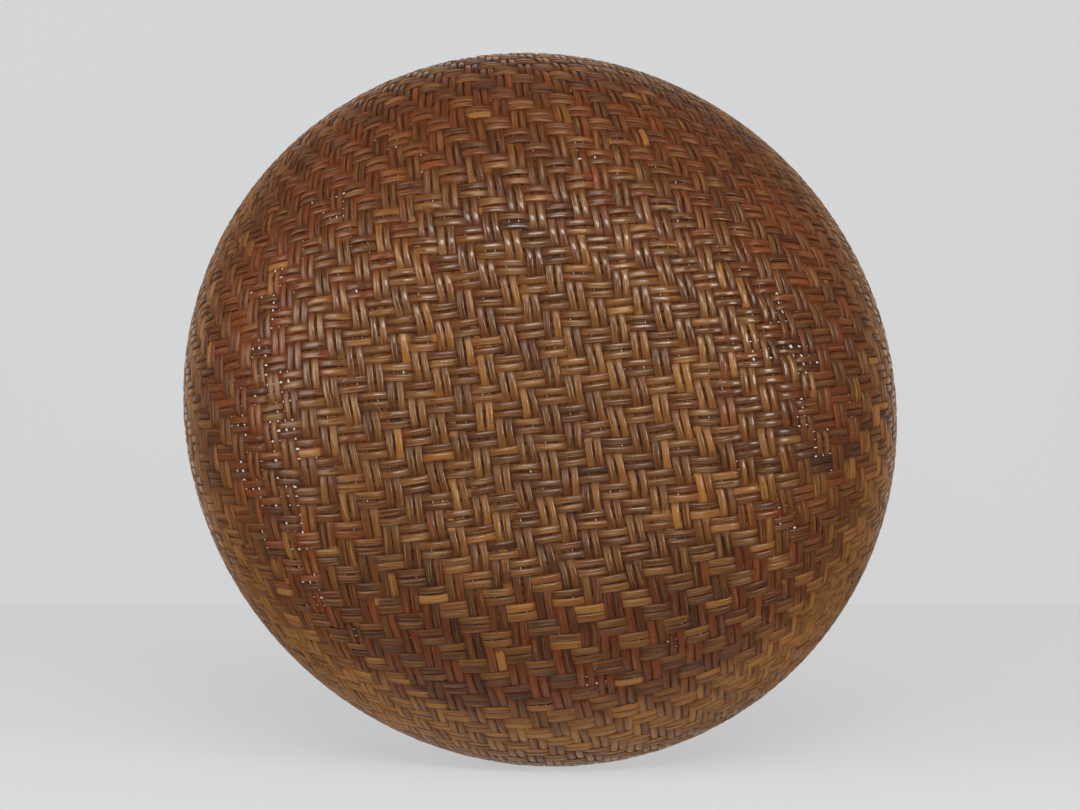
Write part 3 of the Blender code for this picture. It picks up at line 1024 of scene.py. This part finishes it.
class Finish:
    """A material under construction."""

    def __init__(self, name):
        self.material = bpy.data.materials.new(name)
        self.material.use_nodes = True
        self.tree = self.material.node_tree
        self.tree.nodes.clear()

    def node(self, kind, settings=None, sockets=None, output=0):
        """Adds one node: its settings first, then values or wires to its sockets."""
        made = self.tree.nodes.new("ShaderNode" + kind)
        for key, value in (settings or {}).items():
            if key == "stops":
                self.set_stops(made.color_ramp, value)
            else:
                setattr(made, key, value)
        for key, value in (sockets or {}).items():
            if isinstance(value, Wire):
                self.tree.links.new(value.socket, made.inputs[key])
            else:
                made.inputs[key].default_value = value
        return Wire(self, made.outputs[output]) if len(made.outputs) else made

    def set_stops(self, ramp, stops):
        """Colour stops of a ramp, from (place, colour) pairs."""
        while len(ramp.elements) < len(stops):
            ramp.elements.new(1.0)
        for element, (place, colour) in zip(ramp.elements, stops):
            element.position = place
            element.color = (*colour, 1.0)

    def attribute(self, name, part):
        """One number of a vector that the mesh carries."""
        vector = self.node("Attribute", {"attribute_name": name}, output=1)
        return self.node("SeparateXYZ", {}, {0: vector}, output="XYZ".index(part))

    def stretched(self, name, scales):
        """A mesh vector, each of its numbers scaled on its own."""
        vector = self.node("Attribute", {"attribute_name": name}, output=1)
        return self.node("VectorMath", {"operation": "MULTIPLY"}, {0: vector, 1: scales})

    def noise(self, vector, detail=2.0, roughness=0.5):
        """Smooth noise between 0 and 1."""
        sockets = {"Vector": vector, "Scale": 1.0, "Detail": detail, "Roughness": roughness}
        return self.node("TexNoise", {}, sockets)

    def mixed(self, factor, first, second):
        """A blend of two colours."""
        sockets = {0: factor, 6: first, 7: second}
        return self.node("Mix", {"data_type": "RGBA"}, sockets, output=2)

    def darkened(self, factor, colour):
        """A colour times a number, channel by channel."""
        grey = self.node("CombineColor", {}, {0: factor, 1: factor, 2: factor})
        settings = {"data_type": "RGBA", "blend_type": "MULTIPLY"}
        return self.node("Mix", settings, {0: 1.0, 6: colour, 7: grey}, output=2)

    def done(self, surface):
        """Plugs a surface into the output and hands over the material."""
        self.node("OutputMaterial", {}, {"Surface": surface})
        return self.material


def colour(red, green, blue):
    """A colour as a screen shows it, 0 to 255, as the linear values that nodes take."""
    shares = np.array((red, green, blue)) / 255
    linear = np.where(shares > 0.04045, ((shares + 0.055) / 1.055) ** 2.4, shares / 12.92)
    return tuple(float(v) for v in linear)


# %% [markdown]
# ## The finish of the cane
#
# Aged cane has a hard, glossy skin over long fibres. The colour runs from dark brown to
# tan with the strand's tone, shifts to honey or to red brown, and darkens with dirt. Along
# each strand's edges it is painted darker, as painted shade where the rounded sides turn
# away from the light. Pale fibre lines on the crowns are partly wear and partly painted
# highlight, and the tone rises on high crowns and falls where a strand lies low, partly
# wear and partly painted highlight and shade. The fibres show as fine streaks, in the
# colour and as faint ridges that break up the shine. The flat inner side of a strand has
# no skin: it is paler and dull.

# %% Cane skin and pith
TONES = (  # a strand's tone and its colour
    (0.00, colour(51, 24, 8)),
    (0.35, colour(78, 39, 13)),
    (0.65, colour(100, 56, 21)),
    (1.00, colour(148, 101, 46)),
)
# pale worn fibre, and partly a painted highlight on the crowns
WORN_FIBRE_AND_HIGHLIGHT = (*colour(196, 162, 112), 1.0)
HONEY_CANE = (*colour(158, 104, 48), 1.0)
RUST_CANE = (*colour(128, 60, 23), 1.0)
STAIN = (*colour(40, 27, 21), 1.0)


SLOW = (55.0, 0.6, 7.0)  # noise per metre along, per half width, per unit of lay
FIBRE = (60.0, 2.1, 9.0)
FINE = (220.0, 7.0, 13.0)
LINES = (45.0, 4.2, 17.0)
WORN_AND_HIGHLIGHT_LINES = (0.50, 0.68)  # noise at which a worn fibre line, partly painted highlight, starts and is plain to see
EDGE = (0.55, 1.0)  # where an edge starts and ends, as shares of half the width
EDGE_FALL = 1.5  # how late it darkens
# tone by wear: high crowns painted lighter and low parts darker, partly wear, partly painted
# highlight and shade
TONE_BY_SLOW, TONE_BY_FIBRE, TONE_BY_WEAR_AND_SHEEN = 0.5, 1.5, 0.12
HALF_WEAR_AND_SHEEN = 0.6  # wear and sheen that leave the tone as it is
HUE_LEAST, HUE_BY_FIBRE = 0.40, 0.85  # how much of the honey or rust colour shows
LINE_SHARE, STAIN_SHARE = 0.36, 0.8  # the most that worn lines, partly painted highlight, and dirt cover
STREAK_LEAST, STREAK_BY_FINE = 0.72, 0.56  # brightness of the finest streaks
# painted shade along each strand's edges
EDGE_SHADE = 0.40
ROUGH_BY_FINE, ROUGH_BY_EDGE, ROUGH_BY_STAIN, SMOOTH_BY_LINES = 0.2, 0.15, 0.10, 0.08
POLISHED_AT = 0.8  # wear at which the skin is fully polished
ROUGH_UNWORN = 0.32  # what skin adds that no hand has rubbed
RIDGES = 0.0004  # height of the fibre ridges, metres
RIDGE_BY_FIBRE, RIDGE_BY_FINE, RIDGE_BY_LINES = 0.5, 0.3, 0.15
SPECULAR = {True: 0.20, False: 0.15}  # with and without skin
COAT, COAT_ROUGHNESS = 0.64, 0.16


def cane(name, smoothest, skin=True, tint=1.0):
    """The finish of split cane. smoothest is its roughness where hands have rubbed it."""
    made = Finish(name)
    tone = made.attribute("mood", "X")
    honey = made.attribute("mood", "Y")
    stain = made.attribute("mood", "Z")
    worn = made.node("Attribute", {"attribute_name": "worn"}, output=2)
    edge = abs(made.attribute("lay", "Y")).between(*EDGE) ** EDGE_FALL
    slow = made.noise(made.stretched("lay", SLOW), 2.0)
    fibre = made.noise(made.stretched("lay", FIBRE), 3.0, 0.6)
    fine = made.noise(made.stretched("lay", FINE), 2.0, 0.6)
    lines = made.noise(made.stretched("lay", LINES), 1.0).between(*WORN_AND_HIGHLIGHT_LINES)
    rubbed_and_highlight_lines = lines * worn

    level = tone + (slow - 0.5) * TONE_BY_SLOW + (fibre - 0.5) * TONE_BY_FIBRE
    # tone raised on high crowns and lowered below: partly wear, partly painted highlight and shade
    level = level + (worn - HALF_WEAR_AND_SHEEN) * TONE_BY_WEAR_AND_SHEEN
    body = made.node("ValToRGB", {"stops": TONES}, {0: level})
    uneven = HUE_LEAST + fibre * HUE_BY_FIBRE
    body = made.mixed(honey.between(0.0, 1.0) * uneven, body, HONEY_CANE)
    body = made.mixed(honey.between(0.0, -1.0) * uneven, body, RUST_CANE)
    # pale fibre lines on the crowns: partly wear, partly painted highlight
    body = made.mixed(rubbed_and_highlight_lines * LINE_SHARE, body, WORN_FIBRE_AND_HIGHLIGHT)
    body = made.mixed(stain * STAIN_SHARE, body, STAIN)
    streak = STREAK_LEAST + fine * STREAK_BY_FINE
    # fine streaks, and painted shade along the edges
    body = made.darkened(streak * (1 - edge * EDGE_SHADE) * tint, body)

    rough = smoothest + (fine - 0.5) * ROUGH_BY_FINE + edge * ROUGH_BY_EDGE
    rough = rough + stain * ROUGH_BY_STAIN - rubbed_and_highlight_lines * SMOOTH_BY_LINES
    rough = rough + (1 - worn.between(0.0, POLISHED_AT)) * ROUGH_UNWORN
    height = fibre * RIDGE_BY_FIBRE + fine * RIDGE_BY_FINE + lines * RIDGE_BY_LINES
    bump = made.node("Bump", {}, {"Strength": 1.0, "Distance": RIDGES, "Height": height})
    sockets = {
        "Base Color": body,
        "Roughness": rough,
        "Normal": bump,
        "Specular IOR Level": SPECULAR[skin],
        "Coat Weight": worn * COAT if skin else 0.0,
        "Coat Roughness": COAT_ROUGHNESS,
    }
    return made.done(made.node("BsdfPrincipled", {}, sockets))


skin_finish = cane("cane_skin", 0.26)
pith_finish = cane("cane_pith", 0.62, skin=False, tint=1.05)
hoop_finish = cane("hoop_cane", 0.38, tint=0.9)
filler_finish = cane("filler_cane_skin", 0.42, tint=0.85)
binding_finish = cane("binding_skin", 0.32, tint=1.1)
for piece in strand_pieces:
    piece.data.materials.append(skin_finish)
    piece.data.materials.append(pith_finish)
for piece, finish in (
    (outer_hoop, hoop_finish), (inner_hoop, hoop_finish), (filler, filler_finish),
    *((stitch, binding_finish) for stitch in stitches),
):
    piece.data.materials.append(finish)
    piece.data.materials.append(pith_finish)
print("materials", [m.name for m in bpy.data.materials if m.users])

# %% [markdown]
# ## Floor and backdrop
#
# The basket stands on a pale floor. The picture is taken from below that floor, so every
# sheet of the set shows only from its front, and only to the camera: light goes through.
# Two more sheets make the set of the picture, a table that the basket's side touches and
# a wall behind it.

# %% The set
PALE = np.array((0.715, 0.730, 0.752))
SHADOW_SHARE = 0.35  # how much of the set's brightness is light that falls on it
MOTTLE = 0.985  # the darkest spots, as a share of the brightness
SET_HALF = 0.75  # half the width of the table and of the wall behind it
TABLE_DROP = 0.35  # how far the table reaches below the floor
FLOOR_HALF = 30.0
BACKDROP_HEIGHT = 0.907


def set_finish(name, level):
    """A pale matt sheet that shows only from its front and only to the camera."""
    made = Finish(name)
    mottle = made.noise(made.node("NewGeometry", {}, {}, output=0), 3.0)
    stops = ((0.0, MOTTLE * level), (1.0, level))
    tint = made.node("ValToRGB", {"stops": stops}, {0: mottle})
    matt = made.node("BsdfDiffuse", {}, {"Color": tint, "Roughness": 0.5})
    plain = made.node("Emission", {}, {"Color": tint})
    matt = made.node("MixShader", {}, {0: SHADOW_SHARE, 1: plain, 2: matt})
    clear = made.node("BsdfTransparent", {}, {})
    camera_ray = made.node("LightPath", {}, {}, output=0)
    back = made.node("NewGeometry", {}, {}, output="Backfacing")
    shown = camera_ray * (1 - back)
    return made.done(made.node("MixShader", {}, {0: shown, 1: clear, 2: matt}))


def sheet_of(name, corners, finish):
    """A flat sheet of the set from four corners. Its front is where they turn left."""
    mesh = bpy.data.meshes.new(name)
    mesh.from_pydata([tuple(c) for c in corners], [], [(0, 1, 2, 3)])
    mesh.materials.append(finish)
    made = bpy.data.objects.new(name, mesh)
    bpy.context.scene.collection.objects.link(made)
    return made


floor_finish = set_finish("pale_floor", PALE)
floor = sheet_of(
    "floor",
    [(-FLOOR_HALF, -FLOOR_HALF, 0), (FLOOR_HALF, -FLOOR_HALF, 0),
     (FLOOR_HALF, FLOOR_HALF, 0), (-FLOOR_HALF, FLOOR_HALF, 0)],
    floor_finish,
)
UP = -DOWN
touching = DOWN * BODY_RADIUS
left_side, right_side = touching - RIGHT * SET_HALF, touching + RIGHT * SET_HALF
lowest, corner, far = -AXIS * TABLE_DROP, AXIS * BACKDROP_HEIGHT, UP * 2 * SET_HALF
table = sheet_of(
    "picture_table",
    [right_side + lowest, right_side + corner, left_side + corner, left_side + lowest],
    set_finish("pale_table", PALE),
)
backdrop = sheet_of(
    "picture_backdrop",
    [right_side + corner, right_side + far + corner,
     left_side + far + corner, left_side + corner],
    set_finish("pale_backdrop", PALE),
)
for sheet in (floor, table, backdrop):
    print(sheet.name, "front", tuple(round(v, 2) for v in sheet.data.polygons[0].normal))

# %% [markdown]
# ## Light
#
# Soft boxes light the underside for the picture: a wide, flat one above the camera, which
# gives the glints on the floats, one higher up, one on either side, and a very wide one
# below for the light that the pale table throws back. One overhead lights the wall, the
# rim and the inside for the other views. The world gives a plain, dim fill, and shows the
# camera a pale grey.

# %% Lamps and world
LAMP_COLOUR = (1.0, 0.965, 0.90)
FILL_COLOUR = (1.0, 0.94, 0.84, 1.0)
FILL_STRENGTH = 0.25
LAMPS = (  # name, right, up, along the axis, how wide, how high, watts
    ("window_front", 0.05, 0.68, -1.74, 1.0, 0.26, 13.8),
    ("window_above", 0.15, 1.40, -1.30, 0.7, 0.7, 4),
    ("window_right", 1.20, 0.22, -1.20, 0.4, 0.4, 8.5),
    ("window_left", -1.45, 0.33, -1.00, 1.1, 1.1, 14.5),
    ("table_bounce", 0.0, -1.7, 0.25, 2.4, 2.4, 14),
    ("overhead", 0.0, 0.0, 2.2, 3.0, 3.0, 26),
)


def soft_box(name, place, aim, width, height, power):
    """An area lamp that faces a point."""
    lamp = bpy.data.lights.new(name, "AREA")
    lamp.shape = "RECTANGLE"
    lamp.size = width
    lamp.size_y = height
    lamp.energy = power
    lamp.color = LAMP_COLOUR
    made = bpy.data.objects.new(name, lamp)
    made.location = Vector(place)
    made.rotation_euler = (Vector(aim) - Vector(place)).to_track_quat("-Z", "Y").to_euler()
    bpy.context.scene.collection.objects.link(made)


centre = AXIS * SHOULDER_HEIGHT
for name, right, up, along, width, height, power in LAMPS:
    place = centre + RIGHT * right + UP * up + AXIS * along
    soft_box(name, place, centre, width, height, power)

world = bpy.data.worlds.new("studio")
bpy.context.scene.world = world
world.use_nodes = True
world.node_tree.nodes.clear()
sky = world.node_tree.nodes
seen = sky.new("ShaderNodeBackground")
seen.inputs["Color"].default_value = (*colour(212, 214, 215), 1.0)
fill = sky.new("ShaderNodeBackground")
fill.inputs["Color"].default_value = FILL_COLOUR
fill.inputs["Strength"].default_value = FILL_STRENGTH
pick = sky.new("ShaderNodeMixShader")
path_kind = sky.new("ShaderNodeLightPath")
end = sky.new("ShaderNodeOutputWorld")
wires = world.node_tree.links
wires.new(path_kind.outputs["Is Camera Ray"], pick.inputs[0])
wires.new(fill.outputs[0], pick.inputs[1])
wires.new(seen.outputs[0], pick.inputs[2])
wires.new(pick.outputs[0], end.inputs["Surface"])

# %% [markdown]
# ## Camera
#
# The camera looks along the basket's axis, from a little above it, so that the table
# shows. The picture is 1080 by 810, and a focal length of 3381 of its pixels puts the
# camera about 1.7 m away.

# %% The picture's camera
PICTURE_WIDTH, PICTURE_HEIGHT = 1080, 810
FOCAL_PIXELS = 3381.0
SENSOR_WIDTH = 36.0
CAMERA_DISTANCE = 1.6 + SHOULDER_HEIGHT
CAMERA_TILT = math.radians(2.5)
BASKET_IN_PICTURE = (540.2, 410.4)

lens = bpy.data.cameras.new("picture_camera")
lens.sensor_width = SENSOR_WIDTH
lens.lens = FOCAL_PIXELS / PICTURE_WIDTH * SENSOR_WIDTH
lens.shift_x = (PICTURE_WIDTH / 2 - BASKET_IN_PICTURE[0]) / PICTURE_WIDTH
lens.shift_y = (BASKET_IN_PICTURE[1] - PICTURE_HEIGHT / 2) / PICTURE_WIDTH
camera = bpy.data.objects.new("picture_camera", lens)
bpy.context.scene.collection.objects.link(camera)
bpy.context.scene.camera = camera
forward = AXIS * math.cos(CAMERA_TILT) - UP * math.sin(CAMERA_TILT)
camera_up = UP * math.cos(CAMERA_TILT) + AXIS * math.sin(CAMERA_TILT)
turned = Matrix((RIGHT, camera_up, -forward)).transposed().to_4x4()
turned.translation = Vector(centre - forward * CAMERA_DISTANCE)
camera.matrix_world = turned
bpy.context.scene.view_settings.view_transform = "Standard"
print("lens", round(lens.lens, 1), "mm")
